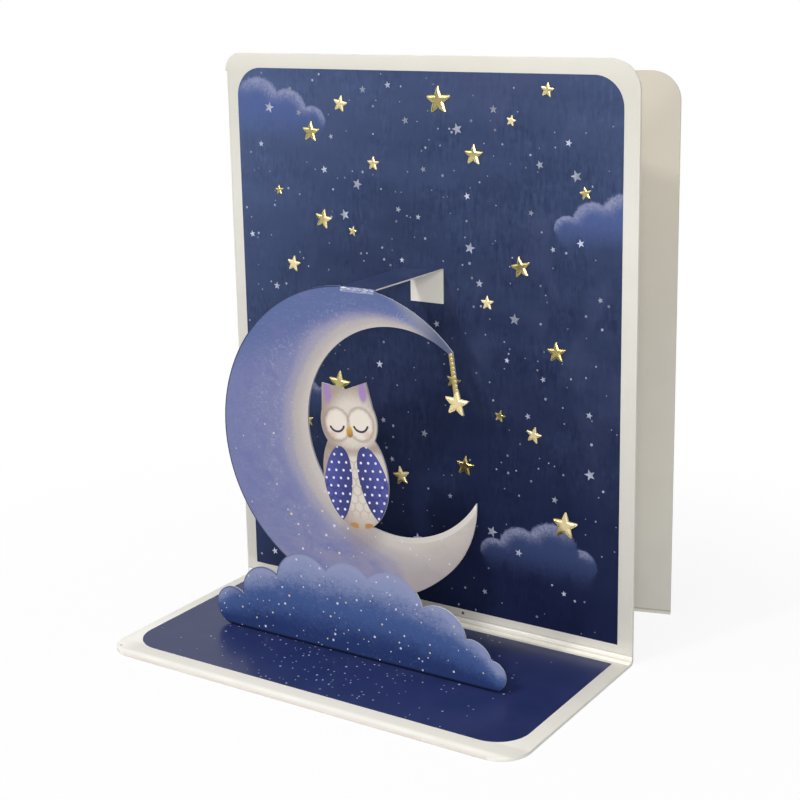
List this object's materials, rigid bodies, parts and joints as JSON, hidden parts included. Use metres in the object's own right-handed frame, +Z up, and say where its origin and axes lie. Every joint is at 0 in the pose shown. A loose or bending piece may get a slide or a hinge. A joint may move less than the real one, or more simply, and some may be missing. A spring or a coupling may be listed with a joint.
{
  "type": "greeting card",
  "caption": "Free-standing pop-up greeting card: a folded card with a glued, die-cut moon, cloud and owl layer in front of a starry sky.",
  "frame": {"origin": "centre of the base flap's underside, on the table", "axes": "+X along the card's width, away from the spine; +Y from the scene towards the rear leaf; +Z up"},
  "size_m": [0.127, 0.0998, 0.1556],
  "materials": {
    "card_board": "satin",
    "layer_board": "satin",
    "sky_ink": "satin",
    "pale_sky_ink": "satin",
    "ground_ink": "gloss",
    "gold_foil": "polished",
    "white_ink": "satin",
    "moon_ink": "satin",
    "cloud_ink": "satin",
    "owl_ink": "satin",
    "wing_ink": "satin",
    "line_ink": "satin"
  },
  "bodies": {
    "root": {"card_sheet": "card_board", "pop_up_layer": "layer_board", "sky_print": "sky_ink", "painted_clouds": "pale_sky_ink", "ground_print": "ground_ink", "gold_stars": "gold_foil", "white_stars": "white_ink", "moon_print": "moon_ink", "cloud_print": "cloud_ink", "hanging_foil": "gold_foil", "strap_print": "sky_ink", "owl_print": "owl_ink", "owl_wings": "wing_ink", "owl_face": "line_ink"}
  },
  "joints": []
}
